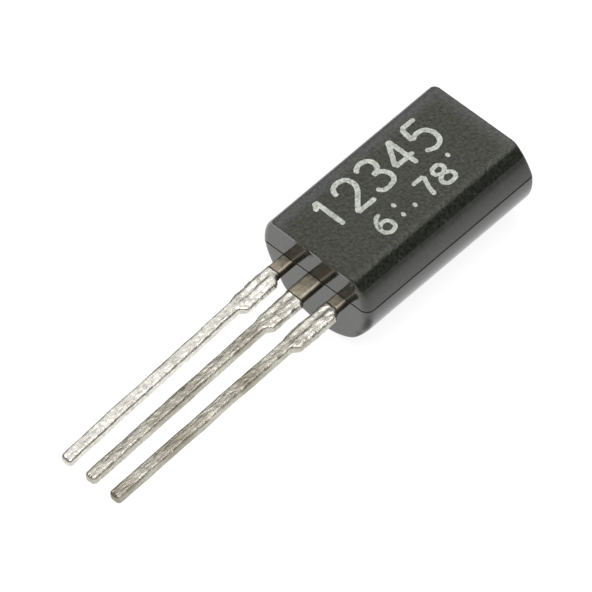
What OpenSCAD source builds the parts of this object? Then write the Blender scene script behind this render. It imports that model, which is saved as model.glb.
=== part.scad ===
// Long-body TO-92 transistor: a moulded case on three flat leads, with the
// die, its solder and its two bond wires inside.
//
// The part lies on its round back. +X runs across the flat face, +Y from the
// leads to the top of the case, +Z out of the flat face. The origin is the
// centre of the middle lead where it leaves the case. Millimetres.

/* [Case] */
// Width of the case, across the parting plane
body_w = 5.08; // [4.8:0.01:5.3]
// Length of the case, from the lead end to the top
body_l = 7.98; // [7.6:0.01:8.4]
// Depth of the case, from the flat face to the round back
body_d = 3.9; // [3.7:0.01:4.1]
// Width of the flat face
flat_w = 3.92; // [3.7:0.01:4.1]
// Depth of the parting plane under the flat face
parting_d = 1.3; // [1.2:0.05:1.4]
// Width of the bevel on each side of the flat face
bevel_w = 0.28; // [0.2:0.01:0.35]
// Depth of that bevel
bevel_d = 0.4; // [0.3:0.01:0.4]
// Mould draft of the front half's two end faces, in degrees
end_draft = 2.5; // [1:0.5:5]
// Radius round both ends of the case
end_r = 0.16; // [0.12:0.01:0.4]
// Width of the fine groove where the two halves of the mould met
groove_w = 0.06; // [0.03:0.01:0.08]
// Depth of that groove
groove_d = 0.03; // [0.02:0.01:0.05]
// Width of the scar on the top end, where the runner broke off
gate_w = 1.2; // [0.8:0.1:1.6]
// Height by which the scar stands proud
gate_h = 0.04; // [0.02:0.01:0.08]

/* [Leads] */
// Distance from lead to lead
pitch = 1.27; // [1.25:0.01:1.29]
// Width of a lead
lead_w = 0.47; // [0.4:0.01:0.55]
// Thickness of a lead
lead_t = 0.4; // [0.35:0.01:0.45]
// Length of a lead outside the case
lead_l = 10.91; // [9:0.01:14]
// Rounding of a lead's long edges
lead_edge_r = 0.09; // [0.05:0.01:0.12]
// Radius of the domed tip
tip_r = 0.48; // [0.36:0.01:0.6]
// Width of an outer lead where it leaves the case
neck_w = 0.5; // [0.45:0.01:0.6]
// Width of the middle lead where it leaves the case
collector_neck_w = 0.68; // [0.6:0.01:0.75]
// Width of the shoulders that the cut tie bar left on each lead
shoulder_w = 0.69; // [0.65:0.01:0.8]
// Distance from the case to the shoulders
shoulder_start = 1.0; // [0.8:0.05:1.2]
// Length of the shoulders
shoulder_l = 1.35; // [1:0.05:1.6]
// Length of the taper from shoulder to lead
taper_l = 0.3; // [0.2:0.05:0.5]
// Sideways drift of the three tips, emitter, collector, base
tip_drift = [0.42, 0.3, 0.2]; // [0:0.01:0.5]

/* [Lead frame inside the case] */
// Width of the die pad on the collector lead
pad_w = 2.4; // [2:0.1:2.8]
// Length of the die pad
pad_l = 3.0; // [2.6:0.1:3.2]
// Distance from the lead end of the case to the die pad
pad_start = 3.1; // [3:0.1:3.4]
// Width of the bond pads on the outer leads
post_w = 1.15; // [1:0.05:1.2]
// Length of the bond pads
post_l = 1.25; // [1:0.05:1.3]
// Distance from the lead end of the case to the bond pads
post_start = 1.4; // [1.2:0.05:1.5]
// Radius of the half-round bites that lock the frame in the plastic
lock_r = 0.2; // [0.15:0.01:0.25]
// Radius of the locking hole above the die
lock_hole_r = 0.28; // [0.2:0.01:0.35]

/* [Die and bond wires] */
// Side of the square die
die_w = 1.0; // [0.8:0.05:1.1]
// Thickness of the die
die_t = 0.24; // [0.2:0.01:0.3]
// Thickness of the solder under the die
solder_t = 0.03; // [0.02:0.01:0.05]
// Width by which the solder shows round the die
solder_rim = 0.06; // [0.03:0.01:0.1]
// Diameter of the bond wires
wire_d = 0.075; // [0.05:0.005:0.1]
// Height of a wire's loop over the line between its two bonds
loop_h = 0.6; // [0.4:0.05:0.7]
// Radius of a bond's foot
bond_r = 0.085; // [0.07:0.005:0.1]
// Height of a bond's foot
bond_h = 0.05; // [0.03:0.005:0.07]

/* [Hidden] */

$fn = 64;
eps = 0.05;          // overlap that keeps unions and cuts clean

// Heights over the middle of the leads. The leads' front faces lie in the
// parting plane, as the frame was clamped there.
parting_z = lead_t / 2;
flat_z = parting_z + parting_d;
back_z = flat_z - body_d;

// The round back is one cylinder, and its axis runs along Y.
back_r = body_w / 2;
back_axis_z = back_z + back_r;

// The front half's sides lie on a second cylinder, which runs through the
// lower edges of the bevels and the back's full width at the parting plane.
bevel_x = flat_w / 2 + bevel_w;
bevel_z = flat_z - bevel_d;
side_axis_z = (pow(bevel_x, 2) + pow(bevel_z, 2) - pow(back_r, 2) - pow(parting_z, 2))
    / (2 * (bevel_z - parting_z));
side_r = norm([back_r, parting_z - side_axis_z]);

// Where the bevel's plane would reach the parting plane
bevel_end_x = flat_w / 2 + parting_d * bevel_w / bevel_d;

end_drop = parting_d * tan(end_draft);

// Each lead turns by a small angle where its shoulder starts.
bent_l = lead_l - shoulder_start;
function drift_angle(drift) = asin(drift / bent_l);

// Places of the die and of the bonds on it and on the outer leads
die_y = pad_start + 1.15;
die_top_z = parting_z + solder_t + die_t;
die_bond_x = 0.24;
emitter_bond_y = die_y - 0.15;
base_bond_y = die_y + 0.12;
post_x = pitch + 0.1;
post_bond_y = post_start + 0.7 * post_l;
pad_lock_y = pad_start + 0.78 * pad_l;

// ---- shared shapes ------------------------------------------------------

// Draws a shape in the XZ plane and runs it from y0 to y1.
module along_y(y0, y1) {
    translate([0, y1, 0])
        rotate([90, 0, 0])
            linear_extrude(y1 - y0)
                children();
}

module rounded_rect(w, h, r) {
    square([w - 2 * r, h], center = true);
    square([w, h - 2 * r], center = true);
    for (sx = [-1, 1], sy = [-1, 1])
        translate([sx * (w / 2 - r), sy * (h / 2 - r)])
            circle(r);
}

// The case seen from the front, drawn in by the amount inset
module case_outline(inset) {
    translate([0, body_l / 2])
        rounded_rect(body_w - 2 * inset, body_l - 2 * inset, end_r - inset);
}

// ---- case ---------------------------------------------------------------

// Section across the front half: the flat face, a steep bevel on each
// side, then the curved sides down to the parting plane
module front_section() {
    intersection() {
        translate([0, side_axis_z])
            circle(side_r, $fn = 128);
        polygon([
            [-bevel_end_x, parting_z],
            [bevel_end_x, parting_z],
            [flat_w / 2, flat_z],
            [-flat_w / 2, flat_z]
        ]);
    }
}

// The front half from the side: its end faces lean in towards the flat face.
module front_profile() {
    polygon([
        [0, parting_z],
        [body_l, parting_z],
        [body_l - end_drop, flat_z],
        [end_drop, flat_z]
    ]);
}

module front_half() {
    intersection() {
        along_y(-eps, body_l + eps)
            front_section();
        rotate([90, 0, 90])
            linear_extrude(body_w + 1, center = true)
                front_profile();
        translate([0, 0, parting_z + groove_w / 2])
            linear_extrude(parting_d)
                case_outline(0);
    }
}

// Half of the turned profile that gives the round back and its rolled ends
module back_profile() {
    intersection() {
        translate([0, body_l / 2])
            rounded_rect(2 * back_r, body_l, end_r);
        square([back_r, body_l]);
    }
}

module back_half() {
    intersection() {
        translate([0, body_l, back_axis_z])
            rotate([90, 0, 0])
                rotate_extrude($fn = 128)
                    back_profile();
        translate([-body_w, -1, back_z - 1])
            cube([2 * body_w, body_l + 2, parting_z - groove_w / 2 - back_z + 1]);
    }
}

// The floor of the groove round the parting plane
module parting_web() {
    translate([0, 0, parting_z - groove_w / 2 - eps])
        linear_extrude(groove_w + 2 * eps)
            case_outline(groove_d);
}

// Scar of the broken runner, on the back half's side of the top end
module gate_scar() {
    translate([-gate_w / 2, body_l - end_r, parting_z - groove_w / 2 - 0.3])
        cube([gate_w, end_r + gate_h, 0.3]);
}

module epoxy_body() {
    color("#3b3c38")
        difference() {
            union() {
                front_half();
                back_half();
                parting_web();
                gate_scar();
            }
            emitter_lead();
            collector_lead();
            base_lead();
            silicon_die();
            die_solder();
            emitter_bond_wire();
            base_bond_wire();
        }
}

// ---- leads --------------------------------------------------------------

// A flat stamped shape, one lead thick
module stamped() {
    linear_extrude(lead_t, center = true)
        children();
}

// The straight run of a lead, from the shoulder's end to its domed tip
module shaft() {
    from_y = -shoulder_l;
    intersection() {
        along_y(-bent_l, from_y + eps)
            rounded_rect(lead_w, lead_t, lead_edge_r);
        union() {
            translate([0, tip_r - bent_l, 0])
                sphere(tip_r);
            translate([-1, tip_r - bent_l, -1])
                cube([2, bent_l, 2]);
        }
    }
}

// The shoulders and the taper down to the shaft
module shoulders(root_w) {
    stamped()
        polygon([
            [-root_w / 2, eps],
            [root_w / 2, eps],
            [root_w / 2, 0],
            [shoulder_w / 2, -0.06],
            [shoulder_w / 2, -shoulder_l],
            [lead_w / 2, -shoulder_l - taper_l],
            [-lead_w / 2, -shoulder_l - taper_l],
            [-shoulder_w / 2, -shoulder_l],
            [-shoulder_w / 2, -0.06],
            [-root_w / 2, 0]
        ]);
}

// Everything of a lead outside the case, at the height of its own axis
module lead_outside(root_w, drift) {
    stamped()
        translate([-root_w / 2, -shoulder_start])
            square([root_w, shoulder_start + eps]);
    translate([0, -shoulder_start, 0])
        rotate([0, 0, drift_angle(drift)]) {
            shoulders(root_w);
            shaft();
        }
}

// Bond pad of an outer lead, drawn for the side where x is positive
module post_outline() {
    difference() {
        union() {
            translate([pitch - neck_w / 2, 0])
                square([neck_w, post_start + eps]);
            translate([post_x - post_w / 2, post_start])
                square([post_w, post_l]);
        }
        translate([post_x + post_w / 2, post_start + post_l / 2])
            circle(lock_r);
    }
}

module outer_lead(side, drift) {
    color("#c9c6bb") {
        translate([side * pitch, 0, 0])
            lead_outside(neck_w, drift);
        stamped()
            mirror([side < 0 ? 1 : 0, 0])
                post_outline();
    }
}

module emitter_lead() {
    outer_lead(-1, tip_drift[0]);
}

module base_lead() {
    outer_lead(1, tip_drift[2]);
}

module collector_outline() {
    difference() {
        union() {
            translate([-collector_neck_w / 2, 0])
                square([collector_neck_w, pad_start + eps]);
            translate([-pad_w / 2, pad_start])
                square([pad_w, pad_l]);
        }
        for (side = [-1, 1])
            translate([side * pad_w / 2, pad_lock_y])
                circle(lock_r);
        translate([0, pad_lock_y])
            circle(lock_hole_r);
    }
}

module collector_lead() {
    color("#c9c6bb") {
        lead_outside(collector_neck_w, tip_drift[1]);
        stamped()
            collector_outline();
    }
}

// ---- die and bond wires -------------------------------------------------

module silicon_die() {
    color("#6f7480")
        translate([-die_w / 2, die_y - die_w / 2, parting_z + solder_t])
            cube([die_w, die_w, die_t]);
}

module die_solder() {
    solder_w = die_w + 2 * solder_rim;
    color("#9a9a96")
        translate([-solder_w / 2, die_y - solder_w / 2, parting_z])
            cube([solder_w, solder_w, solder_t]);
}

// A wire from a bond on the die to a bond on an outer lead: one arc in the
// upright plane through both, with a flat foot at each end
module bond_wire(from_xy, to_xy) {
    span = norm(to_xy - from_xy);
    turn = atan2(to_xy[1] - from_xy[1], to_xy[0] - from_xy[0]);
    high = die_top_z + bond_h / 2;
    low = parting_z + bond_h / 2;
    chord = norm([span, high - low]);
    tilt = atan2(low - high, span);
    arc_r = (pow(chord / 2, 2) + pow(loop_h, 2)) / (2 * loop_h);
    half_angle = asin(chord / 2 / arc_r);
    translate([from_xy[0], from_xy[1], high])
        rotate([0, 0, turn])
            rotate([0, -tilt, 0])
                translate([chord / 2, 0, loop_h - arc_r])
                    rotate([90, 0, 0])
                        rotate([0, 0, 90 - half_angle])
                            rotate_extrude(angle = 2 * half_angle)
                                translate([arc_r, 0])
                                    circle(d = wire_d, $fn = 32);
    translate([from_xy[0], from_xy[1], die_top_z])
        cylinder(r = bond_r, h = bond_h, $fn = 32);
    translate([to_xy[0], to_xy[1], parting_z])
        cylinder(r = bond_r, h = bond_h, $fn = 32);
}

module emitter_bond_wire() {
    color("#d8b25a")
        bond_wire([-die_bond_x, emitter_bond_y], [-post_x, post_bond_y]);
}

module base_bond_wire() {
    color("#d8b25a")
        bond_wire([die_bond_x, base_bond_y], [post_x, post_bond_y]);
}

epoxy_body();
emitter_lead();
collector_lead();
base_lead();
silicon_die();
die_solder();
emitter_bond_wire();
base_bond_wire();
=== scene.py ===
"""Looks of a long-body TO-92 transistor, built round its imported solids.

Shapes are worked out in millimetres, in the frame of the solids: +X across the
flat face, +Y from the leads to the top of the case, +Z out of the flat face.
"""
import math

import bmesh
import bpy
from mathutils import Matrix, Vector, noise


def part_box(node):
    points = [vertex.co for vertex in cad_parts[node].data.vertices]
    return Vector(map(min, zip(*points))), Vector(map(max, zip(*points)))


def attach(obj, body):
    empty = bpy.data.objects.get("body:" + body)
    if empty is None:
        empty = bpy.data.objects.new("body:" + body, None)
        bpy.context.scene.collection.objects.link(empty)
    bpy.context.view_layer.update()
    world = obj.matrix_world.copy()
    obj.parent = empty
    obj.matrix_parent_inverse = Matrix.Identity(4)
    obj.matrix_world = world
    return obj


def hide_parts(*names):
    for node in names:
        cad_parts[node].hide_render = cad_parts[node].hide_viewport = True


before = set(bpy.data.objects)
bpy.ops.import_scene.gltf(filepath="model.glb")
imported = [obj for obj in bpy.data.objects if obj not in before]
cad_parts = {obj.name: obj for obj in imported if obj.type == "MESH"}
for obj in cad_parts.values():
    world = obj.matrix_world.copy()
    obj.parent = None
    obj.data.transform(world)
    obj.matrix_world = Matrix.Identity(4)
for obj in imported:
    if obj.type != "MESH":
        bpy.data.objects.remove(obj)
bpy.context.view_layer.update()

MM = 0.001

# ---- sizes, in millimetres ---------------------------------------------------

case_low, case_high = (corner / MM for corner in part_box("epoxy_body"))
BACK_Z, FLAT_Z = case_low.z, case_high.z
BACK_R = case_high.x
AXIS_Z = BACK_Z + BACK_R
CASE_L = 7.98
# Rounding of the case's corners, at its lead end and its top end
CORNER_R = (0.32, 0.12)        # at the parting line
SIDE_CORNER_R = (0.34, 0.12)   # part of the way round the back, at SIDE_TURN degrees
BACK_CORNER_R = (0.08, 0.14)   # at the very back, from BACK_TURN degrees
FLAT_CORNER_R = (0.14, 0.13)   # at the flat face
SIDE_TURN, BACK_TURN = 32, 52
PARTING_Z = 0.2
FLAT_HALF_W = 1.96
BEVEL_W, BEVEL_D = 0.28, 0.4
DRAFT = math.tan(math.radians(2.5))
BEVEL_LOWER_R = 0.6        # rounding from the curved side to the bevel
BEVEL_UPPER_R = 0.45       # rounding from the bevel to the flat face
END_EDGE_R = 0.03          # rounding from the end faces to the flat face
FLAT_RINGS = (0.012, 0.05, 0.3)   # insets of the rings that lie in the flat face
GROOVE_HALF_W = 0.03
GROOVE_DEPTH = 0.031
GROOVE_LIP = 0.008

GATE_HALF_W = 0.6
GATE_LOW_Z, GATE_HIGH_Z = -0.125, 0.17
GATE_PROUD = 0.038
GATE_SINK, GATE_ROOT = 0.002, 0.16     # how deep its rim and its foot lie in the case

PITCH = 1.27
LEAD_L = 10.91
LEAD_SINK = -0.02          # the dipped leads sit a little low on their lines
# Sizes of the leads before their solder coat, which makes up the rest
LEAD_END = LEAD_L - 0.005
LEAD_W, LEAD_T = 0.45, 0.35
LEAD_EDGE_R = 0.09
SHOULDER_W = 0.76
SHOULDER_SHIFT = 0.075     # the shoulders reach further to one side
SHOULDER_END = 2.35
SHOULDER_TAPER = 0.3
NECK_TAPER = 0.28
VALLEY_W, VALLEY_D = 0.14, 0.03        # the shallow dip along the shoulders' middle
TIP_L = 0.16
BEND_START = 1.0           # where the leads begin to drift sideways
BENT_L = LEAD_L - BEND_START
COAT = 0.012
LUMPS = 0.045              # height of the lumps in the solder
BURRS = 0.4                # unevenness of the shoulders' edges, as a share of the width
PAD_CUT = 0.3              # where a lead's inner end joins its outer one, inside the case
PAD_LAP = 0.02             # how far the two overlap there

INK_THICKNESS = 0.006
INK_Z = FLAT_Z + 0.5 * INK_THICKNESS - 0.001
INK_RAGGED = 0.06
STROKE_LIFT = 0.0004       # parts strokes that cross

# ---- small helpers -----------------------------------------------------------


class Value:
    """An output in a node tree. Arithmetic with it adds Math nodes to that tree."""

    def __init__(self, socket):
        self.socket = socket
        self.tree = socket.id_data

    def __add__(self, other):
        return maths("ADD", self, other)

    def __sub__(self, other):
        return maths("SUBTRACT", self, other)

    def __rsub__(self, other):
        return maths("SUBTRACT", other, self)

    def __mul__(self, other):
        return maths("MULTIPLY", self, other)

    def __truediv__(self, other):
        return maths("DIVIDE", self, other)

    def __pow__(self, other):
        return maths("POWER", self, other)

    def __neg__(self):
        return maths("MULTIPLY", self, -1.0)

    def __abs__(self):
        return maths("ABSOLUTE", self)


def node(tree, kind, inputs=None, **settings):
    """Adds a node. Each input is named or numbered, and is a Value or a constant."""
    made = tree.nodes.new(kind)
    for key, value in settings.items():
        setattr(made, key, value)
    for key, value in (inputs or {}).items():
        if isinstance(value, Value):
            tree.links.new(value.socket, made.inputs[key])
        else:
            made.inputs[key].default_value = value
    return made


def result(tree, kind, inputs=None, output=0, **settings):
    """Adds a node and gives back one of its outputs."""
    return Value(node(tree, kind, inputs, **settings).outputs[output])


def feed(value, socket):
    value.tree.links.new(value.socket, socket)


def maths(operation, *values, kind="ShaderNodeMath", output=0):
    """A Math node's result, in the tree that the values come from."""
    tree = next(value.tree for value in values if isinstance(value, Value))
    return result(tree, kind, dict(enumerate(values)), output, operation=operation)


def vector_maths(operation, *values, output="Vector"):
    return maths(operation, *values, kind="ShaderNodeVectorMath", output=output)


def scaled(vector, factor):
    inputs = {0: vector, "Scale": factor}
    return result(vector.tree, "ShaderNodeVectorMath", inputs, "Vector", operation="SCALE")


def combined(tree, **parts):
    return result(tree, "ShaderNodeCombineXYZ", parts)


def parts_of(vector):
    """X, Y and Z of a vector."""
    return [Value(part) for part in node(vector.tree, "ShaderNodeSeparateXYZ", {0: vector}).outputs]


def step(value, start, end, low=0.0, high=1.0):
    """A smooth step from low to high, as value goes from start to end."""
    inputs = {"Value": value, "From Min": start, "From Max": end, "To Min": low, "To Max": high}
    return result(
        value.tree, "ShaderNodeMapRange", inputs, "Result", interpolation_type="SMOOTHSTEP"
    )


def cloud(vector, scale, detail=2.0, roughness=0.5):
    """Noise from 0 to 1 round a middle of 0.5."""
    inputs = {"Vector": vector, "Scale": scale, "Detail": detail, "Roughness": roughness}
    return result(vector.tree, "ShaderNodeTexNoise", inputs)


# The Mix node has sockets of each kind under the same names, so colours go by number.
MIX_FIRST, MIX_SECOND, MIX_RESULT = 6, 7, 2


def blended(factor, first, second):
    """A mix of two colours."""
    inputs = {"Factor": factor, MIX_FIRST: first, MIX_SECOND: second}
    return result(factor.tree, "ShaderNodeMix", inputs, MIX_RESULT, data_type="RGBA")


def tinted(colour, tone):
    """A colour made lighter or darker by a tone."""
    return vector_maths("MULTIPLY", colour, combined(tone.tree, X=tone, Y=tone, Z=tone))


def show(name, mesh):
    """Puts a finished mesh in the scene under its own name."""
    mesh.name = name
    piece = bpy.data.objects.new(name, mesh)
    bpy.context.scene.collection.objects.link(piece)
    return piece


def evaluated_mesh(piece):
    """What a piece's modifiers make of it, as a plain mesh."""
    graph = bpy.context.evaluated_depsgraph_get()
    return bpy.data.meshes.new_from_object(piece.evaluated_get(graph), depsgraph=graph)


def finished(shape, mesh):
    """Moves a bmesh's shape into a mesh."""
    shape.to_mesh(mesh)
    shape.free()
    return mesh


# ---- shared shader groups ----------------------------------------------------

FLOAT, VECTOR = "NodeSocketFloat", "NodeSocketVector"


def shader_group(name, output, **inputs):
    """An empty shader group that reads a place, its inputs, and the socket of its one output.

    Words in a socket's name are joined by _ here, and in use.
    """
    tree = bpy.data.node_groups.new(name, "ShaderNodeTree")
    tree.interface.new_socket(name="Place", in_out="INPUT", socket_type=VECTOR)
    for key, value in inputs.items():
        kind = FLOAT if isinstance(value, float) else VECTOR
        title = key.replace("_", " ")
        socket = tree.interface.new_socket(name=title, in_out="INPUT", socket_type=kind)
        socket.default_value = value
    tree.interface.new_socket(name=output, in_out="OUTPUT", socket_type=FLOAT)
    given = {socket.name: Value(socket) for socket in tree.nodes.new("NodeGroupInput").outputs}
    return tree, given, tree.nodes.new("NodeGroupOutput").inputs[output]


def use(group, place, **inputs):
    """The output of a shader group at a place."""
    named = {key.replace("_", " "): value for key, value in inputs.items()}
    return result(place.tree, "ShaderNodeGroup", {"Place": place, **named}, node_tree=group)


def mottle_group():
    """Uneven tone: a factor round 1, of soft patches and finer grain."""
    tree, given, out = shader_group(
        "mottled_tone", "Tone", Patch=2.0, Grain=8.0, Patch_Depth=0.2, Grain_Depth=0.3
    )
    patch = cloud(given["Place"], given["Patch"], detail=3.0) - 0.5
    grain = cloud(given["Place"], given["Grain"], roughness=0.6) - 0.5
    patch = patch * (given["Patch Depth"] * 2.0)
    grain = grain * (given["Grain Depth"] * 2.0)
    feed(maths("MAXIMUM", patch + grain + 1.0, 0.0), out)
    return tree


def speck_group():
    """Scattered round specks, each of its own size, on a share of the cells."""
    tree, given, out = shader_group(
        "scattered_specks", "Mask", Per_Millimetre=4.0, Size=0.2, Share=0.3
    )
    cells = node(
        tree, "ShaderNodeTexVoronoi",
        {"Vector": given["Place"], "Scale": given["Per Millimetre"], "Randomness": 1.0},
    ).outputs
    chance = node(tree, "ShaderNodeSeparateColor", {0: Value(cells["Color"])}).outputs
    radius = given["Size"] * (Value(chance[1]) + 0.25)
    dot = step(Value(cells["Distance"]), radius, radius * 0.45)
    chosen = maths("LESS_THAN", Value(chance[0]), given["Share"])
    feed(dot * chosen, out)
    return tree


def grain_group():
    """Height of a fine surface: small grains over softer swells."""
    tree, given, out = shader_group(
        "surface_grain", "Height", Grain=18.0, Swell=3.0, Swell_Share=0.5
    )
    grain = cloud(given["Place"], given["Grain"], detail=3.0, roughness=0.6)
    swell = cloud(given["Place"], given["Swell"])
    feed(grain * (1.0 - given["Swell Share"]) + swell * given["Swell Share"], out)
    return tree


def streak_group():
    """Fine scratches and draw marks along one direction, which Stretch sets."""
    tree, given, out = shader_group(
        "drawn_streaks", "Mask", Stretch=(1.0, 0.08, 1.0), Per_Millimetre=14.0, Threshold=0.6
    )
    place = vector_maths("MULTIPLY", given["Place"], given["Stretch"])
    line = cloud(place, given["Per Millimetre"], detail=3.0, roughness=0.65)
    feed(step(line, given["Threshold"], given["Threshold"] + 0.12), out)
    return tree


MOTTLE = mottle_group()
SPECKS = speck_group()
GRAIN = grain_group()
STREAKS = streak_group()

# ---- materials ---------------------------------------------------------------


def new_material(name, **constants):
    """A material, its shader's inputs, and its place on the object in millimetres."""
    material = bpy.data.materials.new(name)
    material.use_nodes = True
    inputs = material.node_tree.nodes["Principled BSDF"].inputs
    for key, value in constants.items():
        inputs[key.replace("_", " ")].default_value = value
    place = result(material.node_tree, "ShaderNodeTexCoord", output="Object")
    return material, inputs, scaled(place, 1 / MM)


def bump(inputs, height, depth):
    """Feeds a height from 0 to 1 to the shader's normal. Depth is in millimetres."""
    made = {"Height": height, "Strength": 1.0, "Distance": depth * MM}
    feed(result(height.tree, "ShaderNodeBump", made, "Normal"), inputs["Normal"])


EPOXY_POLISHED = (0.0130, 0.0155, 0.0100)
EPOXY_MATTE = (0.0245, 0.0265, 0.0125)
# A painted highlight along two edges of the flat face
EPOXY_EDGE_HIGHLIGHT = (0.074, 0.073, 0.073)
# A lighter tone painted on the end faces, standing in for the light they reflect
EPOXY_END_PAINTED_LIGHT = (0.026, 0.0275, 0.020)
EPOXY_IOR = 1.76
EPOXY_SMOOTH, EPOXY_ROUGH = 0.06, 0.58     # roughness where polished, and where matted
EPOXY_RELIEF = 0.06        # on the matted face
POLISHED_RELIEF = 0.03     # the share of that relief on the polished faces
HIGHLIGHT_MOTTLE = 0.35       # the share of the mottling that the painted highlight keeps
DUST = (0.30, 0.31, 0.30, 1.0)
DUST_SHARE = 0.12
# Where one finish, or one painted lighter tone, turns into the next
MATTE_Z = (FLAT_Z - 0.16, FLAT_Z - 0.01)
PAINTED_LIGHT_END_FROM_MIDDLE = (CASE_L / 2 - 0.14, CASE_L / 2 - 0.02)
HIGHLIGHT_X, HIGHLIGHT_Y = (-1.25, -1.85), (7.25, 7.95)


def epoxy_material():
    """Black moulding compound: spark-matted on the flat face, polished elsewhere, with painted
    light that makes its end faces and two edges of the flat face lighter.
    """
    material, inputs, place = new_material("black_epoxy", IOR=EPOXY_IOR)
    x, y, z = parts_of(place)
    matte = step(z, *MATTE_Z)
    tone = use(MOTTLE, place, Patch=0.9, Grain=8.0, Patch_Depth=0.4, Grain_Depth=2.6)
    # The end faces are painted a lighter tone, standing in for the light they reflect.
    end = step(abs(y - CASE_L / 2), *PAINTED_LIGHT_END_FROM_MIDDLE)
    polished = blended(end, tinted(EPOXY_POLISHED, tone), tinted(EPOXY_END_PAINTED_LIGHT, tone))

    # A painted highlight makes the flat face lighter along two of its edges.
    highlit = maths("MAXIMUM", step(x, *HIGHLIGHT_X), step(y, *HIGHLIGHT_Y))
    softer = tone * HIGHLIGHT_MOTTLE + (1 - HIGHLIGHT_MOTTLE)
    rough = blended(highlit, tinted(EPOXY_MATTE, tone), tinted(EPOXY_EDGE_HIGHLIGHT, softer))
    base = blended(matte, polished, rough)
    dust = use(SPECKS, place, Per_Millimetre=1.9, Size=0.13, Share=0.3)
    feed(blended(dust * DUST_SHARE, base, DUST), inputs["Base Color"])

    scratch = use(STREAKS, place, Stretch=(1.0, 0.12, 1.0), Per_Millimetre=9.0, Threshold=0.62)
    smooth = tone * 0.05 + EPOXY_SMOOTH + scratch * 0.05
    feed(step(matte, 0.0, 1.0, smooth, EPOXY_ROUGH), inputs["Roughness"])

    grain = use(GRAIN, place, Grain=9.0, Swell=4.0, Swell_Share=0.25)
    relief = grain * (matte * (1 - POLISHED_RELIEF) + POLISHED_RELIEF)
    bump(inputs, relief, EPOXY_RELIEF)
    return material


INK = (0.58, 0.60, 0.54)
INK_WORN = (0.09, 0.09, 0.08, 1.0)
INK_WEAR = 0.55
INK_ROUGH = (0.5, 0.75)    # roughness where thin, and where thick
INK_RELIEF = 0.008


def ink_material():
    """Pale printing ink, thin and worn, so that the epoxy shows through in places."""
    material, inputs, place = new_material("pale_ink")
    tone = use(MOTTLE, place, Patch=2.2, Grain=11.0, Patch_Depth=0.25, Grain_Depth=0.85)
    worn = use(SPECKS, place, Per_Millimetre=11.0, Size=0.38, Share=0.4)
    feed(blended(worn * INK_WEAR, tinted(INK, tone), INK_WORN), inputs["Base Color"])
    feed(step(tone, 0.6, 1.4, *INK_ROUGH), inputs["Roughness"])
    grain = use(GRAIN, place, Grain=30.0, Swell=9.0, Swell_Share=0.3)
    bump(inputs, grain, INK_RELIEF)
    return material


SOLDER = (0.79, 0.77, 0.70)
BARE_METAL = (0.48, 0.425, 0.335)
# Near-black for the necks' sides: their bare sheared edges, and painted shade near the case
SHEARED_AND_SHADED = (0.055, 0.045, 0.035, 1.0)
# Tarnish, partly painted shade, which darkens some leads more than others
TARNISH_AND_SHADE = (0.35, 0.32, 0.24, 1.0)
STAIN = (0.13, 0.105, 0.07, 1.0)
SOLDER_ROUGH = 0.2
BARE_ROUGH = 0.1           # what bare metal has beyond that
SOLDER_RELIEF = 0.065
DRAWN, FLOWING = (1.0, 0.35, 1.0), (1.0, 0.14, 1.0)    # textures drawn out along the leads


def lead_material():
    """Dipped solder on a stamped lead, which is bare, flatter and duller past the dip's end.
    Tarnish with painted shade darkens some leads, and the necks' sides are painted dark for their
    sheared edges and for shade.
    """
    material, inputs, place = new_material("dipped_solder", Metallic=1.0)
    dipped, dull_and_shaded, sheared_and_shaded = (
        result(place.tree, "ShaderNodeAttribute", output="Fac", attribute_name=name)
        for name in ("dipped", "dull_and_shaded", "sheared_and_shaded")
    )
    tone = use(MOTTLE, place, Patch=1.6, Grain=7.5, Patch_Depth=0.3, Grain_Depth=0.6)
    base = blended(dipped, tinted(BARE_METAL, tone), tinted(SOLDER, tone))
    patches = step(cloud(place, 0.55), 0.38, 0.62, 0.4, 0.8)
    # Tarnish and painted shade darken some leads, and most of each lead's outer part.
    base = blended(dull_and_shaded * patches, base, TARNISH_AND_SHADE)
    drawn = vector_maths("MULTIPLY", place, DRAWN)
    stain = use(SPECKS, drawn, Per_Millimetre=5.5, Size=0.42, Share=0.34)
    base = blended(stain * dipped * (dull_and_shaded * 0.42 + 0.12), base, STAIN)
    # The necks' sides are painted dark, for their sheared edges and for the shade near the case.
    feed(blended(sheared_and_shaded, base, SHEARED_AND_SHADED), inputs["Base Color"])

    streaks = use(STREAKS, place, Stretch=(1.0, 0.15, 1.0), Per_Millimetre=10.0, Threshold=0.5)
    gloss = tone * 0.12 + SOLDER_ROUGH + streaks * 0.06 + dull_and_shaded * 0.1
    feed(gloss + step(dipped, 0.0, 1.0, BARE_ROUGH, 0.0), inputs["Roughness"])

    grain = use(GRAIN, drawn, Grain=8.0, Swell=4.0, Swell_Share=0.35)
    flow = cloud(vector_maths("MULTIPLY", place, FLOWING), 4.5)
    relief = (grain + flow * 0.6) * (dipped * 0.8 + 0.2) * (dull_and_shaded * 0.5 + 0.55)
    bump(inputs, relief, SOLDER_RELIEF)
    return material


SILICON = (0.10, 0.11, 0.14)
METALLISED = (0.62, 0.62, 0.60, 1.0)
DIE_TOP = (0.465, 0.468)   # heights between which the fingers begin
FINGER_PITCH = 0.06
FINGER_EDGE = (0.028, 0.034)


def silicon_material():
    """The die: polished silicon with metal fingers on its upper face."""
    material, inputs, place = new_material("metallised_silicon")
    x, _, z = parts_of(place)
    top = step(z, *DIE_TOP)
    finger = step(maths("PINGPONG", x, FINGER_PITCH), *FINGER_EDGE) * top
    tone = use(MOTTLE, place, Patch=3.0, Grain=14.0, Patch_Depth=0.1, Grain_Depth=0.15)
    feed(blended(finger, tinted(SILICON, tone), METALLISED), inputs["Base Color"])
    feed(finger, inputs["Metallic"])
    feed(tone * 0.2, inputs["Roughness"])
    return material


FINE_RELIEF = 0.004


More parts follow.
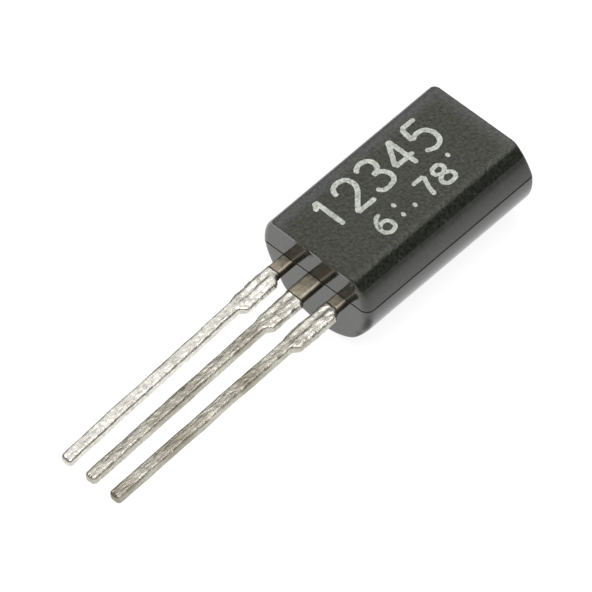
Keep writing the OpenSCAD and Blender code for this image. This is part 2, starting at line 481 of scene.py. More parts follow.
def metal_material(name, colour, roughness, grain):
    """A plain metal for the solder under the die and the bond wires."""
    material, inputs, place = new_material(name, Metallic=1.0)
    tone = use(MOTTLE, place, Patch=4.0, Grain=grain, Patch_Depth=0.12, Grain_Depth=0.2)
    feed(tinted(colour, tone), inputs["Base Color"])
    feed(tone * roughness, inputs["Roughness"])
    bump(inputs, use(GRAIN, place, Grain=grain, Swell=6.0, Swell_Share=0.4), FINE_RELIEF)
    return material


# ---- case --------------------------------------------------------------------

END_STEPS, CORNER_STEPS, SIDE_STEPS = 20, 8, 56
BACK_STEPS = 96
SIDE_ARC_STEPS, LOWER_ARC_STEPS, UPPER_ARC_STEPS = 12, 8, 10


def arc(centre_x, centre_z, radius, start, end, count):
    """Points of an arc, from the angle start to the angle end, in degrees."""
    angles = (math.radians(start + (end - start) * i / count) for i in range(count + 1))
    return [(centre_x + radius * math.cos(a), centre_z + radius * math.sin(a)) for a in angles]


def between(first, second, part):
    """Corner roundings, or a point, part of the way from one pair to another."""
    return [a + (b - a) * part for a, b in zip(first, second)]


def front_section():
    """Half-width and height of the front half, from the groove up to the flat face."""
    # The side's cylinder runs through the parting line and the bevel's lower edge.
    edge_x, edge_z = FLAT_HALF_W + BEVEL_W, FLAT_Z - BEVEL_D
    axis_z = (edge_x**2 + edge_z**2 - BACK_R**2 - PARTING_Z**2) / (2 * (edge_z - PARTING_Z))
    side_r = math.hypot(BACK_R, PARTING_Z - axis_z)

    # The lower rounding touches that cylinder from inside, and the bevel.
    facing = math.atan2(BEVEL_W, BEVEL_D)
    out_x, out_z = math.cos(facing), math.sin(facing)
    along = out_x * FLAT_HALF_W + out_z * FLAT_Z - BEVEL_LOWER_R
    across = axis_z * out_x - math.sqrt(
        (side_r - BEVEL_LOWER_R) ** 2 - (along - axis_z * out_z) ** 2
    )
    centre_x, centre_z = along * out_x - across * out_z, along * out_z + across * out_x
    side_end = math.degrees(math.atan2(centre_z - axis_z, centre_x))
    side_start = math.degrees(math.asin((PARTING_Z + 2 * GROOVE_HALF_W - axis_z) / side_r))
    facing = math.degrees(facing)
    side = arc(0, axis_z, side_r, side_start, side_end, SIDE_ARC_STEPS)
    lower = arc(centre_x, centre_z, BEVEL_LOWER_R, side_end, facing, LOWER_ARC_STEPS)
    upper_x = FLAT_HALF_W - BEVEL_UPPER_R * (1 - out_z) / out_x
    upper_z = FLAT_Z - BEVEL_UPPER_R
    upper = arc(upper_x, upper_z, BEVEL_UPPER_R, facing, 90, UPPER_ARC_STEPS)
    bevel = [between(lower[-1], upper[0], part) for part in (0.25, 0.5, 0.75)]
    return side + lower[1:] + bevel + upper


def front_inset(z):
    """How far the end faces have leaned in at one height."""
    inset = max(z - PARTING_Z, 0) * DRAFT
    rise = z - (FLAT_Z - END_EDGE_R)
    if rise > 0:
        inset += END_EDGE_R - math.sqrt(max(END_EDGE_R**2 - rise**2, 0))
    return inset


def case_outline(half_w, inset, corners):
    """Right half of the case's outline from the front, from the lead end to the top end."""
    low, high = inset, CASE_L - inset
    low_r, high_r = corners
    low_run, high_run = half_w - low_r, half_w - high_r
    start, end = low + low_r, high - high_r
    bends = [math.radians(90 * i / CORNER_STEPS) for i in range(CORNER_STEPS + 1)]
    points = [(low_run * i / END_STEPS, low) for i in range(END_STEPS)]
    points += [(low_run + low_r * math.sin(a), start - low_r * math.cos(a)) for a in bends]
    points += [(half_w, start + (end - start) * i / SIDE_STEPS) for i in range(1, SIDE_STEPS)]
    points += [(high_run + high_r * math.cos(a), end + high_r * math.sin(a)) for a in bends]
    points += [(high_run * (1 - i / END_STEPS), high) for i in range(1, END_STEPS + 1)]
    return points


def back_corners(angle):
    """Roundings of the two ends at one angle round the back, in degrees from the parting line."""
    angle = min(angle, 180 - angle)
    if angle < SIDE_TURN:
        return between(CORNER_R, SIDE_CORNER_R, angle / SIDE_TURN)
    part = min((angle - SIDE_TURN) / (BACK_TURN - SIDE_TURN), 1)
    return between(SIDE_CORNER_R, BACK_CORNER_R, part * part * (3 - 2 * part))


def case_rings():
    """Outline and height of each ring, from the back's axis up to the flat face."""
    low_lip, high_lip = PARTING_Z - GROOVE_HALF_W, PARTING_Z + GROOVE_HALF_W
    groove = [
        # height, inset
        (AXIS_Z, 0),
        (low_lip - GROOVE_LIP, 0),
        (low_lip - GROOVE_LIP * 0.3, GROOVE_LIP * 0.3),
        (low_lip, GROOVE_LIP),
        (low_lip + GROOVE_LIP, GROOVE_DEPTH),
        (high_lip - GROOVE_LIP, GROOVE_DEPTH),
        (high_lip, GROOVE_LIP),
        (high_lip + GROOVE_LIP * 0.7, GROOVE_LIP * 0.3),
    ]
    rings = [
        (case_outline(BACK_R - inset, inset, [r - inset for r in CORNER_R]), z)
        for z, inset in groove
    ]
    section = front_section()
    for half_w, z in section:
        corners = between(CORNER_R, FLAT_CORNER_R, (z - PARTING_Z) / (FLAT_Z - PARTING_Z))
        rings.append((case_outline(half_w, front_inset(z), corners), z))
    half_w, inset = section[-1][0], front_inset(FLAT_Z)
    for extra in FLAT_RINGS:
        rings.append((case_outline(half_w - extra, inset + extra, FLAT_CORNER_R), FLAT_Z))
    return rings


def case_shell():
    """One closed shell: stacked rings for the front half, and a turned back."""
    shell = bmesh.new()
    rings = []
    for outline, z in case_rings():
        right = [shell.verts.new((x, y, z)) for x, y in outline]
        left = [shell.verts.new((-x, y, z)) for x, y in outline[1:-1]]
        rings.append(right + left[::-1])
    for lower, upper in zip(rings, rings[1:]):
        for i in range(len(lower)):
            j = (i + 1) % len(lower)
            shell.faces.new((lower[i], lower[j], upper[j], upper[i]))
    shell.faces.new(rings[-1])

    # The back: the lowest ring's right half turns about the axis to its left half.
    last = len(rings[0]) // 2
    right = rings[0][: last + 1]
    columns = [right]
    for turn in range(1, BACK_STEPS):
        angle = math.pi * turn / BACK_STEPS
        outline = case_outline(BACK_R, 0, back_corners(math.degrees(angle)))
        column = [
            shell.verts.new((r * math.cos(angle), y, AXIS_Z - r * math.sin(angle)))
            for r, y in outline[1:-1]
        ]
        columns.append([right[0], *column, right[-1]])
    columns.append([rings[0][-i % len(rings[0])] for i in range(last + 1)])
    for column, following in zip(columns, columns[1:]):
        for i in range(last):
            corners = [column[i], following[i], following[i + 1], column[i + 1]]
            # The two ends of a column are shared by them all, so a corner can come twice.
            shell.faces.new(list(dict.fromkeys(corners)))
    return shell


SCAR_COLUMNS, SCAR_ROWS = 64, 18
SCAR_LUMPS = (6, 9)        # across and up, per millimetre
SCAR_LAYERS = (0.8, 2.2, 5)            # the noise's fall-off, step in scale, and layers
SCAR_SEED = 3.7
SCAR_LOWEST = 0.12         # as a share of its height
SCAR_RIM = 3               # columns over which it rises from its rim


def gate_scar():
    """The broken stub of the runner on the top end: a rough face with sides down into the case."""
    scar = bmesh.new()
    rows = []
    for j in range(SCAR_ROWS + 1):
        z = GATE_LOW_Z + (GATE_HIGH_Z - GATE_LOW_Z) * j / SCAR_ROWS
        row = []
        for i in range(SCAR_COLUMNS + 1):
            x = GATE_HALF_W * (2 * i / SCAR_COLUMNS - 1)
            place = Vector((x * SCAR_LUMPS[0], z * SCAR_LUMPS[1], SCAR_SEED))
            height = 0.5 + 0.5 * noise.fractal(place, *SCAR_LAYERS)
            edge = min(i, SCAR_COLUMNS - i, j * 2, (SCAR_ROWS - j) * 2) / SCAR_RIM
            proud = GATE_PROUD * max(SCAR_LOWEST, min(height, 1.0)) * min(edge, 1.0)
            row.append(scar.verts.new((x, CASE_L - GATE_SINK + proud, z)))
        rows.append(row)
    for lower, upper in zip(rows, rows[1:]):
        for i in range(SCAR_COLUMNS):
            scar.faces.new((lower[i], upper[i], upper[i + 1], lower[i + 1]))
    rim = [edge for edge in scar.edges if edge.is_boundary]
    skirt = bmesh.ops.extrude_edge_only(scar, edges=rim)["geom"]
    for vert in skirt:
        if isinstance(vert, bmesh.types.BMVert):
            vert.co.y = CASE_L - GATE_ROOT
    bmesh.ops.holes_fill(scar, edges=[e for e in scar.edges if e.is_boundary], sides=0)
    bmesh.ops.recalc_face_normals(scar, faces=scar.faces)
    return scar


SHARP_ANGLE = math.radians(50)


def build_case(material):
    shell = case_shell()
    shell.from_mesh(finished(gate_scar(), bpy.data.meshes.new("scar")))
    mesh = finished(shell, bpy.data.meshes.new("case"))
    mesh.transform(Matrix.Scale(MM, 4))
    mesh.materials.append(material)
    mesh.shade_smooth()
    mesh.set_sharp_from_angle(angle=SHARP_ANGLE)
    case = show("moulded_case", mesh)
    weighting = case.modifiers.new("even_shading", "WEIGHTED_NORMAL")
    weighting.weight = 80
    weighting.keep_sharp = True
    mesh = evaluated_mesh(case)
    case.modifiers.clear()
    case.data = mesh
    return case


# ---- geometry trees ----------------------------------------------------------

GEOMETRY, MATERIAL = "NodeSocketGeometry", "NodeSocketMaterial"


def geometry_tree(name, others, numbers):
    """An empty geometry tree, and its inputs: numbers, and others of stated kinds."""
    tree = bpy.data.node_groups.new(name, "GeometryNodeTree")
    for title, kind in {**others, **dict.fromkeys(numbers, FLOAT)}.items():
        tree.interface.new_socket(name=title, in_out="INPUT", socket_type=kind)
    tree.interface.new_socket(name="Geometry", in_out="OUTPUT", socket_type=GEOMETRY)
    inputs = tree.nodes.new("NodeGroupInput").outputs
    return tree, {socket.name: Value(socket) for socket in inputs}


def moved(geometry, **places):
    return result(geometry.tree, "GeometryNodeSetPosition", {"Geometry": geometry, **places})


def resampled(curve, **settings):
    return result(curve.tree, "GeometryNodeResampleCurve", {"Curve": curve, **settings})


def box_section(tree, width, height):
    inputs = {"Width": width, "Height": height}
    return result(tree, "GeometryNodeCurvePrimitiveQuadrilateral", inputs)


def finish_tree(geometry, material, smooth):
    """Ends a tree: shading, instances made real, and the material set."""
    tree = geometry.tree
    for kind, inputs in (
        ("GeometryNodeSetShadeSmooth", {"Shade Smooth": smooth}),
        ("GeometryNodeRealizeInstances", {}),
        ("GeometryNodeSetMaterial", {"Material": material}),
    ):
        geometry = result(tree, kind, {"Geometry": geometry, **inputs})
    feed(geometry, tree.nodes.new("NodeGroupOutput").inputs["Geometry"])
    return tree


def grown(tree, values, start=None):
    """Runs a geometry tree, on some data or on nothing, and gives back its plain mesh in metres."""
    carrier = bpy.data.objects.new("growth", start or bpy.data.meshes.new("seed"))
    bpy.context.scene.collection.objects.link(carrier)
    modifier = carrier.modifiers.new("growth", "NODES")
    modifier.node_group = tree
    for item in tree.interface.items_tree:
        if item.in_out == "INPUT" and item.name in values:
            modifier[item.identifier] = values[item.name]
    mesh = evaluated_mesh(carrier)
    bpy.data.objects.remove(carrier)
    mesh.transform(Matrix.Scale(MM, 4))
    return mesh


# ---- leads -------------------------------------------------------------------

LEAD_RINGS, LEAD_SIDES, EDGE_STEPS = 760, 56, 6
LEAD_INPUTS = (
    "Shaft Width", "Thickness", "Edge Radius", "Neck Width", "Neck Taper", "Shoulder Width",
    "Shoulder Start", "Shoulder End", "Shoulder Shift", "Taper", "Length", "Root", "Tip Length",
    "Bend Start", "Drift Slope", "Twist", "Dip Line", "Coat", "Lumps", "Burrs", "Valley Width",
    "Valley Depth", "Dull Shade", "Seed",
)
WANDER, WANDER_SCALE = 0.12, 2.5       # how unevenly the neck, the shoulders and the dip end
BURR_SCALE = 5.0
# Where the flanges and the sheared sides with painted shade begin, in half-widths of the shaft
FLANGE_EDGE, SHEARED_SHADE_EDGE = (0.86, 1.1), (0.96, 0.998)
FLANGE_THINNING = 0.12     # the shoulders' flanges are this share thinner than the shaft
TIP_SQUARENESS = 0.72      # 1 for a round dome, less for a blunter one
TIP_LAST = 0.97            # the last ring stops at this share of the dome's quarter turn
# Stretches along the lead over which it twists, begins to sway, and turns fully dull, with tarnish
# and painted shade
TWIST_RUN, SWAY_RUN, DULL_SHADE_RUN = (0.4, 2.6), (1.0, 4.0), (1.2, 3.2)
SWAY, SWAY_SCALE = 0.05, 0.45
DULL_SHADE_START = 0.35          # how dull and shaded it is before that stretch, as a share
DIP_INNER, DIP_OUTER = 0.03, 0.05      # the dip's edge, to each side of its line
COAT_FLOW = (1.0, 0.6, 1.0)            # lumps are drawn out along the lead
LUMP_SIZES = ((1.6, 1.0), (4.5, 0.5), (11.0, 0.12))    # scale and share of each
BARE_LUMPS = 0.15          # the share of them that a bare lead has
SHOULDER_LUMPS = 0.7       # how much lumpier the shoulders are


def straight_bar(tree, given):
    """A bar of the shaft's section, with rings close enough to be shaped."""
    line = result(tree, "GeometryNodeCurvePrimitiveLine", {
        "Start": combined(tree, Y=given["Root"]), "End": combined(tree, Y=-given["Length"]),
    })
    rounded = result(
        tree, "GeometryNodeFilletCurve",
        {"Curve": box_section(tree, given["Shaft Width"], given["Thickness"]),
         "Radius": given["Edge Radius"], "Count": EDGE_STEPS}, mode="POLY",
    )
    return result(tree, "GeometryNodeCurveToMesh", {
        "Curve": resampled(line, Count=LEAD_RINGS),
        "Profile Curve": resampled(rounded, Count=LEAD_SIDES), "Fill Caps": True,
    })


def lead_masks(given, out):
    """Masks along the lead: the neck, and the shoulders that the tie bar left."""
    start, end = given["Shoulder Start"], given["Shoulder End"]
    neck = step(out, start, start + given["Neck Taper"], 1.0, 0.0)
    past = step(out, end, end + given["Taper"], 1.0, 0.0)
    return neck, (1.0 - neck) * past


def stamped_section(given, here, x, z, neck, shoulder):
    """Places across the lead and through it, at its width at each place along it."""
    shaft = given["Shaft Width"]

    def widening(width, mask):
        return (width - shaft) / shaft * mask

    factor = widening(given["Neck Width"], neck) + widening(given["Shoulder Width"], shoulder) + 1.0
    burr = (cloud(here, BURR_SCALE, detail=4.0, roughness=0.7) - 0.5) * (given["Burrs"] * shoulder)
    wide = x * (factor + burr) + given["Shoulder Shift"] * shoulder
    reach = abs(wide)
    half = shaft * 0.5
    flange = shoulder * step(reach, *(half * share for share in FLANGE_EDGE))
    deep = z * (1.0 - flange * FLANGE_THINNING)
    valley = step(reach, 0.0, given["Valley Width"], 1.0, 0.0) * (shoulder * given["Valley Depth"])
    upper_side = step(z, 0.0, 0.1)
    return wide, deep - valley * upper_side


def blunt_tip(given, out):
    """How far the rings close in at the tip, and where along the lead they then lie."""
    tip = given["Tip Length"]
    start = given["Length"] - tip
    part = (out - start) / tip
    turn = maths("MINIMUM", maths("MAXIMUM", part, 0.0), TIP_LAST) * (math.pi / 2)
    close = maths("COSINE", turn) ** TIP_SQUARENESS
    dome = maths("SINE", turn) ** TIP_SQUARENESS * tip
    inputs = {"Factor": maths("GREATER_THAN", part, 0.0), "A": out, "B": start + dome}
    return close, result(out.tree, "ShaderNodeMix", inputs)


def bent_place(given, wide, deep, y, out, new_out):
    """Twist about the lead's own line, then the drift that starts at the shoulders."""
    tree = out.tree
    angle = given["Twist"] * step(out, *TWIST_RUN)
    cosine, sine = maths("COSINE", angle), maths("SINE", angle)
    beyond = maths("MAXIMUM", out - given["Bend Start"], 0.0)
    sway = cloud(combined(tree, X=given["Seed"], Y=y), SWAY_SCALE, detail=1.0) - 0.5
    sway = sway * (step(out, *SWAY_RUN) * SWAY)
    moved_x = wide * cosine + deep * sine + sway + beyond * given["Drift Slope"]
    return combined(tree, X=moved_x, Y=-new_out, Z=deep * cosine - wide * sine)


def solder_coat(given, bar, here):
    """Solder: a coat with a rim where the dip ended, and lumps of three sizes."""
    tree = bar.tree
    coat, shoulder = (
        result(tree, "GeometryNodeInputNamedAttribute", {"Name": name}, "Attribute",
               data_type="FLOAT")
        for name in ("dipped", "shoulder")
    )
    edge = coat * (1.0 - coat) * 4.0
    flowing = vector_maths("MULTIPLY", here, COAT_FLOW)
    first, second, third = (
        (cloud(flowing, scale, detail=1.5) - 0.5) * share for scale, share in LUMP_SIZES
    )
    lumps = (first + second + third) * given["Lumps"] * (shoulder * SHOULDER_LUMPS + 1.0)
    swell = given["Coat"] * (coat + edge) + lumps * (coat * (1 - BARE_LUMPS) + BARE_LUMPS)
    return moved(bar, Offset=scaled(result(tree, "GeometryNodeInputNormal"), swell))


def lead_tree():
    """A stamped lead along -Y: neck, shoulders, taper, shaft and blunt tip, with its solder."""
    tree, given = geometry_tree("dipped_lead", {"Material": MATERIAL}, LEAD_INPUTS)
    bar = straight_bar(tree, given)
    place = result(tree, "GeometryNodeInputPosition")
    x, y, z = parts_of(place)
    out = -y
    here = vector_maths("ADD", place, combined(tree, X=given["Seed"]))
    ragged_out = out + (cloud(here, WANDER_SCALE) - 0.5) * WANDER
    neck, shoulder = lead_masks(given, ragged_out)
    wide, deep = stamped_section(given, here, x, z, neck, shoulder)
    close, new_out = blunt_tip(given, out)
    shaped = bent_place(given, wide * close, deep * close, y, out, new_out)

    # What the material reads is stored before the places change.
    half, dip = given["Shaft Width"] * 0.5, given["Dip Line"]
    for name, value in {
        "dipped": step(ragged_out, dip - DIP_INNER, dip + DIP_OUTER),
        "dull_and_shaded": given["Dull Shade"] * step(out, *DULL_SHADE_RUN, DULL_SHADE_START, 1.0),
        "shoulder": shoulder,
        # The necks' sides, darkened for their sheared edges and for painted shade
        "sheared_and_shaded": neck * step(abs(x), *(half * share for share in SHEARED_SHADE_EDGE)),
    }.items():
        bar = result(
            tree, "GeometryNodeStoreNamedAttribute",
            {"Geometry": bar, "Name": name, "Value": value}, data_type="FLOAT", domain="POINT",
        )
    return finish_tree(
        solder_coat(given, moved(bar, Position=shaped), here), given["Material"], True
    )


def inner_end(name):
    """The part of a lead inside the case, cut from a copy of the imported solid."""
    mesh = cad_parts[name].data.copy()
    copy = bmesh.new()
    copy.from_mesh(mesh)
    bmesh.ops.remove_doubles(copy, verts=copy.verts, dist=MM * 1e-4)
    everything = list(copy.verts) + list(copy.edges) + list(copy.faces)
    bmesh.ops.bisect_plane(
        copy, geom=everything, plane_co=(0, PAD_CUT * MM, 0), plane_no=(0, 1, 0), clear_inner=True
    )
    bmesh.ops.holes_fill(copy, edges=[e for e in copy.edges if e.is_boundary], sides=0)
    finished(copy, mesh)
    mesh.materials.clear()
    return mesh


LEADS = {
    # name: (side, neck width, shoulder start, drift at the tip, twist in degrees, dip line,
    #        dull shade, which is tarnish and painted shade, seed)
    "emitter_lead": (-1, 0.54, 0.74, 0.42, 5.0, 0.68, 0.0, 3.0),
    "collector_lead": (0, 0.69, 0.85, 0.30, -4.0, 0.98, 0.85, 11.0),
    "base_lead": (1, 0.54, 0.46, 0.20, -2.0, 0.47, 1.05, 27.0),
}


def build_lead(name, tree, material):
    side, neck_w, shoulder, drift, twist, dip_line, dull_shade, seed = LEADS[name]
    outer = grown(tree, {
        "Shaft Width": LEAD_W, "Thickness": LEAD_T, "Edge Radius": LEAD_EDGE_R,
        "Neck Width": neck_w, "Neck Taper": NECK_TAPER, "Shoulder Width": SHOULDER_W,
        "Shoulder Start": shoulder, "Shoulder End": SHOULDER_END,
        "Shoulder Shift": SHOULDER_SHIFT, "Taper": SHOULDER_TAPER, "Length": LEAD_END,
        "Root": PAD_CUT + PAD_LAP, "Tip Length": TIP_L, "Bend Start": BEND_START,
        "Drift Slope": math.tan(math.asin(drift / BENT_L)), "Twist": math.radians(twist),
        "Dip Line": dip_line, "Coat": COAT, "Lumps": LUMPS, "Burrs": BURRS,
        "Valley Width": VALLEY_W, "Valley Depth": VALLEY_D, "Dull Shade": dull_shade, "Seed": seed,
        "Material": material,
    })
    outer.transform(Matrix.Translation((side * PITCH * MM, 0, LEAD_SINK * MM)))
    whole = bmesh.new()
    whole.from_mesh(outer)
    whole.from_mesh(inner_end(name))
    return show("dipped_" + name, finished(whole, outer))


# ---- marking -----------------------------------------------------------------

# Strokes of each numeral on a field one wide and one high. Numerals read along
# +Y, with their tops towards -X.
NUMERALS = {
    "1": [[(0.30, 0.76), (0.56, 1.0)], [(0.56, 1.0), (0.56, 0.0)]],
    "2": [[(0.08, 0.72), (0.2, 0.93), (0.5, 1.0), (0.8, 0.93), (0.9, 0.7), (0.76, 0.48),
           (0.4, 0.24), (0.06, 0.0)], [(0.06, 0.0), (0.94, 0.0)]],
    "3": [[(0.1, 0.85), (0.28, 0.97), (0.55, 1.0), (0.8, 0.9), (0.84, 0.72), (0.7, 0.57),
           (0.42, 0.53)], [(0.42, 0.53), (0.75, 0.47), (0.9, 0.27), (0.8, 0.07), (0.5, 0.0),
           (0.2, 0.03), (0.06, 0.18)]],
    "4": [[(0.7, 0.0), (0.7, 1.0)], [(0.7, 1.0), (0.04, 0.3)], [(0.04, 0.3), (0.96, 0.3)]],
    "5": [[(0.88, 1.0), (0.2, 1.0)], [(0.2, 1.0), (0.12, 0.56)],
          [(0.12, 0.56), (0.45, 0.64), (0.78, 0.56), (0.9, 0.32), (0.78, 0.08), (0.45, 0.0),
           (0.08, 0.12)]],
    "6": [[(0.78, 0.98), (0.44, 0.88), (0.18, 0.6), (0.1, 0.3), (0.24, 0.06), (0.5, 0.0),
           (0.78, 0.07), (0.88, 0.3), (0.76, 0.52), (0.48, 0.6), (0.2, 0.48), (0.11, 0.32)]],
    "7": [[(0.06, 1.0), (0.92, 1.0)], [(0.92, 1.0), (0.6, 0.5), (0.42, 0.0)]],
    "8": [[(0.5, 0.54), (0.2, 0.66), (0.14, 0.82), (0.28, 0.97), (0.5, 1.0), (0.72, 0.97),
           (0.86, 0.82), (0.8, 0.66), (0.5, 0.54), (0.16, 0.4), (0.06, 0.22), (0.2, 0.04),
           (0.5, 0.0), (0.8, 0.04), (0.94, 0.22), (0.84, 0.4), (0.52, 0.54)]],
}
# Runs of numerals: text, foot in X, start in Y, height, width, distance from one to the next
LARGE_RUN = ("12345", 0.0, 1.08, 1.42, 0.94, 1.12)
SMALL_RUNS = (("6", 1.42, 2.15, 0.86, 0.66, 0.8), ("78", 1.42, 4.25, 0.86, 0.62, 0.78))
DOTS = ((0.69, 3.26), (1.2, 3.21), (1.21, 3.76), (0.53, 6.01))
DOT_RUN = 0.08             # a dot is a stroke from this far before its place to as far past it
LARGE_STROKE, SMALL_STROKE, DOT_STROKE = 0.19, 0.165, 0.23
STROKE_STEP = 0.012
STROKE_SIDES = 12
SMALLEST_END = 0.05        # the share of its width to which a stroke's round end narrows


def ink_tree():
    """A printed stroke along each curve: flat, round at its ends, with a ragged edge."""
    tree, given = geometry_tree(
        "printed_stroke", {"Strokes": GEOMETRY, "Material": MATERIAL},
        ("Width", "Thickness", "Ragged", "Seed"),
    )
    smooth = result(
        tree, "GeometryNodeCurveSplineType", {"Curve": given["Strokes"]}, spline_type="CATMULL_ROM"
    )
    fine = result(
        tree, "GeometryNodeResampleCurve", {"Curve": smooth, "Length": STROKE_STEP}, mode="LENGTH"
    )
    run = result(tree, "GeometryNodeSplineParameter", output="Length")
    total = result(tree, "GeometryNodeSplineLength", output="Length")
    from_end = maths("MINIMUM", run, total - run)
    part = maths("MINIMUM", from_end / (given["Width"] * 0.5), 1.0)
    round_end = maths("SQRT", 1.0 - (1.0 - part) ** 2.0)
    sized = result(tree, "GeometryNodeSetCurveRadius", {
        "Curve": fine, "Radius": maths("MAXIMUM", round_end, SMALLEST_END),
    })
    upright = result(tree, "GeometryNodeSetCurveNormal", {"Curve": sized}, mode="Z_UP")
    section = resampled(box_section(tree, given["Width"], given["Thickness"]), Count=STROKE_SIDES)
    ribbon = result(tree, "GeometryNodeCurveToMesh", {
        "Curve": upright, "Profile Curve": section,
        "Scale": result(tree, "GeometryNodeInputRadius"), "Fill Caps": True,
    })
    place = result(tree, "GeometryNodeInputPosition")
    here = vector_maths("ADD", place, combined(tree, Z=given["Seed"]))
    shift = result(
        tree, "ShaderNodeTexNoise", {"Vector": here, "Scale": 9.0, "Detail": 3.0}, "Color"
    )
    flat = vector_maths("MULTIPLY", vector_maths("SUBTRACT", shift, (0.5, 0.5, 0.5)), (1, 1, 0))
    ragged = moved(ribbon, Offset=scaled(flat, given["Ragged"]))
    return finish_tree(ragged, given["Material"], False)


def stroke_curve(strokes):
    """A curve object's data with one plain spline for each stroke."""
    curve = bpy.data.curves.new("strokes", "CURVE")
    curve.dimensions = "3D"
    for points in strokes:
        spline = curve.splines.new("POLY")
        spline.points.add(len(points) - 1)
        for point, place in zip(spline.points, points):
            point.co = (*place, 1.0)
    return curve


def numeral_strokes(text, foot_x, start_y, height, width, advance):
    """Strokes of a run of numerals, laid on the flat face."""
    strokes = []
    for place, numeral in enumerate(text):
        for stroke in NUMERALS[numeral]:
            z = INK_Z + STROKE_LIFT * (len(strokes) % 4)
            strokes.append([
                (foot_x - height * v, start_y + place * advance + width * u, z)
                for u, v in stroke
            ])
    return strokes


def build_marking(material):
    """Plain counting numerals in two rows, with four dots."""
    tree = ink_tree()
    large = numeral_strokes(*LARGE_RUN)
    small = [stroke for run in SMALL_RUNS for stroke in numeral_strokes(*run)]
    dots = [[(x, y - DOT_RUN, INK_Z), (x, y + DOT_RUN, INK_Z)] for x, y in DOTS]
    marks = bmesh.new()
    for strokes, width, seed in (
        (large, LARGE_STROKE, 5.0), (small, SMALL_STROKE, 9.0), (dots, DOT_STROKE, 14.0)
    ):
        marks.from_mesh(grown(tree, {
            "Width": width, "Thickness": INK_THICKNESS, "Ragged": INK_RAGGED, "Seed": seed,
            "Material": material,
        }, stroke_curve(strokes)))
    mesh = finished(marks, bpy.data.meshes.new("marking"))
    mesh.materials.append(material)
    return show("printed_marking", mesh)


# ---- floor, lights and camera ------------------------------------------------

FLOOR_HALF = 0.7           # metres
FLOOR_BOUNCE = 0.8         # the paper's own colour, as it lights the part
FLOOR_SHADED = 0.25        # the share of the paper's look that shadows darken
FLOOR_GLOW = 0.9
FLOOR_ROUGH = 0.9
# In reflections only: the darkest spot of the case's own shade, and two fades. A
# fade has the distances where it starts and ends, and the paper's level at each.
CORNER_SHADE = (2.6, -0.3, BACK_Z)
CORNER_FADE = (0.3, 1.4, 0.3, 1.0)
HORIZON_FADE = (3.0, 34.0, 1.0, 0.25)
WHITE = (1, 1, 1, 1)


def floor_material():
    """White paper: its own tone where the camera and reflections see it, and the shadow."""
    material, inputs, place = new_material(
        "white_paper", Roughness=FLOOR_ROUGH, Specular_IOR_Level=0.0, Emission_Color=WHITE
    )
    tone = use(MOTTLE, place, Patch=0.05, Grain=3.0, Patch_Depth=0.01, Grain_Depth=0.03)
    rays = node(place.tree, "ShaderNodeLightPath").outputs
    camera, glossy, through = (
        Value(rays[name]) for name in ("Is Camera Ray", "Is Glossy Ray", "Is Transmission Ray")
    )
    mirrored = maths("MAXIMUM", glossy, through)
    level = maths("MAXIMUM", camera, mirrored) * (FLOOR_SHADED - FLOOR_BOUNCE) + FLOOR_BOUNCE
    feed(tinted(WHITE[:3], tone * level), inputs["Base Color"])

    # In reflections the paper dims towards the horizon, as it does under a lamp near the part.
    away = vector_maths("LENGTH", place, output="Value")
    from_corner = vector_maths("DISTANCE", place, CORNER_SHADE, output="Value")
    dimmed = step(away, *HORIZON_FADE) * step(from_corner, *CORNER_FADE)
    glow = maths("MAXIMUM", camera, mirrored * dimmed)
    feed(glow * FLOOR_GLOW, inputs["Emission Strength"])
    return material


def build_floor():
    signs = ((-1, -1), (1, -1), (1, 1), (-1, 1))
    corners = [(x * FLOOR_HALF, y * FLOOR_HALF, BACK_Z * MM) for x, y in signs]
    mesh = bpy.data.meshes.new("paper")
    mesh.from_pydata(corners, [], [(0, 1, 2, 3)])
    mesh.materials.append(floor_material())
    show("paper_floor", mesh)


WORLD_LEVEL = 0.15
LAMP_DISTANCE = 0.6
SOFTBOXES = {
    # name: (direction, width, depth, radiance)
    "back_softbox": (Vector((-0.47, 0.40, 0.79)), 0.4, 0.4, 0.85),
    "side_softbox": (Vector((0.385, 0.40, 0.83)), 0.62, 0.34, 0.58),
    "top_softbox": (Vector((0.12, -0.12, 1.0)), 0.5, 0.46, 3.6),
}


def build_world():
    """An even grey surrounding, which the camera sees as white."""
    world = bpy.data.worlds.new("studio")
    bpy.context.scene.world = world
    world.use_nodes = True
    tree = world.node_tree
    background = tree.nodes["Background"].inputs
    seen = result(tree, "ShaderNodeLightPath", output="Is Camera Ray")
    level = {"Value": seen, "To Min": WORLD_LEVEL, "To Max": 1.0}
    feed(result(tree, "ShaderNodeMapRange", level), background["Strength"])
    background["Color"].default_value = WHITE


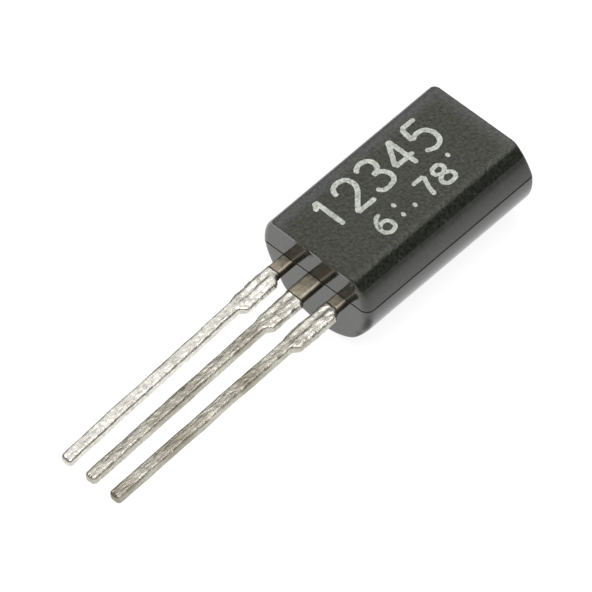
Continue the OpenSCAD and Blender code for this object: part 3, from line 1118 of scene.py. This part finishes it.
def build_softboxes():
    """Soft sources: behind the part, for the flat face's sheen, to its right, and overhead."""
    for name, (direction, width, depth, radiance) in SOFTBOXES.items():
        light = bpy.data.lights.new(name, "AREA")
        light.shape = "RECTANGLE"
        light.size, light.size_y = width, depth
        light.energy = radiance * math.pi * width * depth
        lamp = bpy.data.objects.new(name, light)
        bpy.context.scene.collection.objects.link(lamp)
        lamp.location = direction.normalized() * LAMP_DISTANCE
        lamp.rotation_euler = direction.to_track_quat("Z", "Y").to_euler()
        lamp.visible_camera = False


CAMERA_DIRECTION = Vector((0.48298987, -0.39254024, 0.78270872))
CAMERA_UP = Vector((-0.5186201, 0.59198532, 0.61691699))
CAMERA_TARGET = Vector((-0.499, -0.472, -0.830))
CAMERA_DISTANCE = 344.75
CAMERA_FIELD = math.radians(3.3035)


def build_camera():
    camera = bpy.data.cameras.new("camera")
    camera.sensor_fit = "HORIZONTAL"
    camera.angle = CAMERA_FIELD
    camera.clip_start, camera.clip_end = 0.01, 10
    holder = bpy.data.objects.new("camera", camera)
    bpy.context.scene.collection.objects.link(holder)
    back = CAMERA_DIRECTION.normalized()
    right = CAMERA_UP.cross(back).normalized()
    up = back.cross(right)
    turn = Matrix((right, up, back)).transposed().to_4x4()
    place = (CAMERA_TARGET + back * CAMERA_DISTANCE) * MM
    holder.matrix_world = Matrix.Translation(place) @ turn
    bpy.context.scene.camera = holder


# ---- the whole ---------------------------------------------------------------


def dress_inner_nodes():
    """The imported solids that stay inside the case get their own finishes."""
    finishes = {
        "silicon_die": silicon_material(),
        "die_solder": metal_material("soft_solder", (0.45, 0.44, 0.42), 0.38, 20.0),
        "emitter_bond_wire": metal_material("drawn_gold", (0.85, 0.60, 0.25), 0.2, 40.0),
    }
    finishes["base_bond_wire"] = finishes["emitter_bond_wire"]
    for name, material in finishes.items():
        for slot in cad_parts[name].material_slots:
            slot.material = material


def main():
    case = build_case(epoxy_material())
    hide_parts("epoxy_body")
    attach(case, "root")

    solder = lead_material()
    tree = lead_tree()
    for name in LEADS:
        lead = build_lead(name, tree, solder)
        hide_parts(name)
        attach(lead, "root")

    marking = build_marking(ink_material())
    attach(marking, "root")

    dress_inner_nodes()
    build_floor()
    build_world()
    build_softboxes()
    build_camera()


main()
bpy.context.scene.view_settings.view_transform = "Standard"
